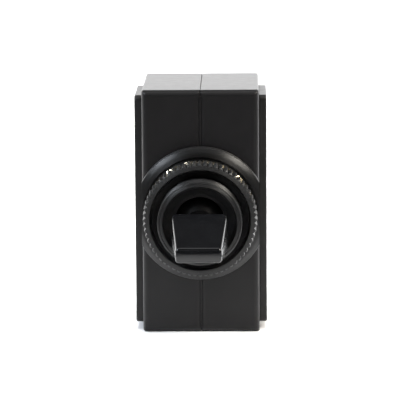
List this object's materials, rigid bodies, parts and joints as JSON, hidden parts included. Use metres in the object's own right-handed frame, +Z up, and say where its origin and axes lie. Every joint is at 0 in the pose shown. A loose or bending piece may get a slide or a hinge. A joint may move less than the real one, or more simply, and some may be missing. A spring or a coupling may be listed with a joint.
{
  "type": "toggle switch",
  "caption": "Black panel-mount toggle switch: boxed body, clipped round flange, threaded stem, knurled face nut and a flat paddle lever tipped down.",
  "frame": {"origin": "on the stem's axis, in the plane of the flange's front rim, where the panel seats", "axes": "+X to the right as the user sees it, -Y towards the user along the stem, +Z up"},
  "size_m": [0.02, 0.0524, 0.0372],
  "materials": {
    "shell_plastic": "satin black moulded plastic with a fine texture",
    "plate_plastic": "matte black moulded plastic",
    "stem_plastic": "semi-gloss black moulded plastic",
    "nut_black": "black-finished metal, finely knurled",
    "washer_brass": "bright stamped brass",
    "lever_plastic": "black moulded plastic",
    "paddle_plastic": "glossy black moulded plastic with bright edges",
    "pin_steel": "ground steel",
    "retainer_plastic": "natural moulded plastic",
    "plunger_nylon": "natural nylon",
    "spring_steel": "drawn spring wire",
    "rocker_copper": "stamped copper alloy",
    "contact_silver": "silver contact face",
    "terminal_brass": "stamped brass",
    "base_phenolic": "dark phenolic moulding",
    "rivet_black": "black-finished steel"
  },
  "bodies": {
    "switch_body": {"housing_left": "shell_plastic", "housing_right": "shell_plastic", "side_plate_left": "plate_plastic", "side_plate_right": "plate_plastic", "threaded_stem": "stem_plastic", "pivot_retainer": "retainer_plastic", "fixed_contacts": "contact_silver", "upper_terminal": "terminal_brass", "common_terminal": "terminal_brass", "lower_terminal": "terminal_brass", "terminal_base": "base_phenolic", "body_rivets": "rivet_black"},
    "lever": {"lever_core": "lever_plastic", "paddle": "paddle_plastic", "pivot_pin": "pin_steel", "plunger_spring": "spring_steel"},
    "plunger": {"plunger": "plunger_nylon"},
    "rocker": {"contact_rocker": "rocker_copper", "moving_contacts": "contact_silver"},
    "washer": {"lock_washer": "washer_brass"},
    "nut": {"face_nut": "nut_black"}
  },
  "joints": [
    {"name": "lever_swing", "type": "hinge", "parent": "switch_body", "child": "lever", "pos_m": [0, -0.003, 0], "axis": [-1, 0, 0], "range_deg": [0, 21]},
    {"name": "rocker_tilt", "type": "hinge", "parent": "switch_body", "child": "rocker", "pos_m": [0, 0.012, 0], "axis": [-1, 0, 0], "range_deg": [-14, 0]},
    {"name": "plunger_slide", "type": "slide", "parent": "lever", "child": "plunger", "axis": [0, -0.9833, -0.1822], "range_m": [0, 0.0008], "stiffness_N_per_m": 400, "springref_m": -0.004, "deforming": ["plunger_spring"]},
    {"name": "nut_travel", "type": "slide", "parent": "switch_body", "child": "washer", "axis": [0, -1, 0], "range_m": [0, 0.00667]},
    {"name": "nut_turn", "type": "hinge", "parent": "washer", "child": "nut", "pos_m": [0, -0.003, 0], "axis": [0, -1, 0], "range_deg": [0, 1890.01]}
  ],
  "couplings": [
    {"joint": "rocker_tilt", "follows": "lever_swing", "ratio": -0.66667},
    {"joint": "nut_turn", "follows": "nut_travel", "rad_per_m": 4947.4}
  ]
}
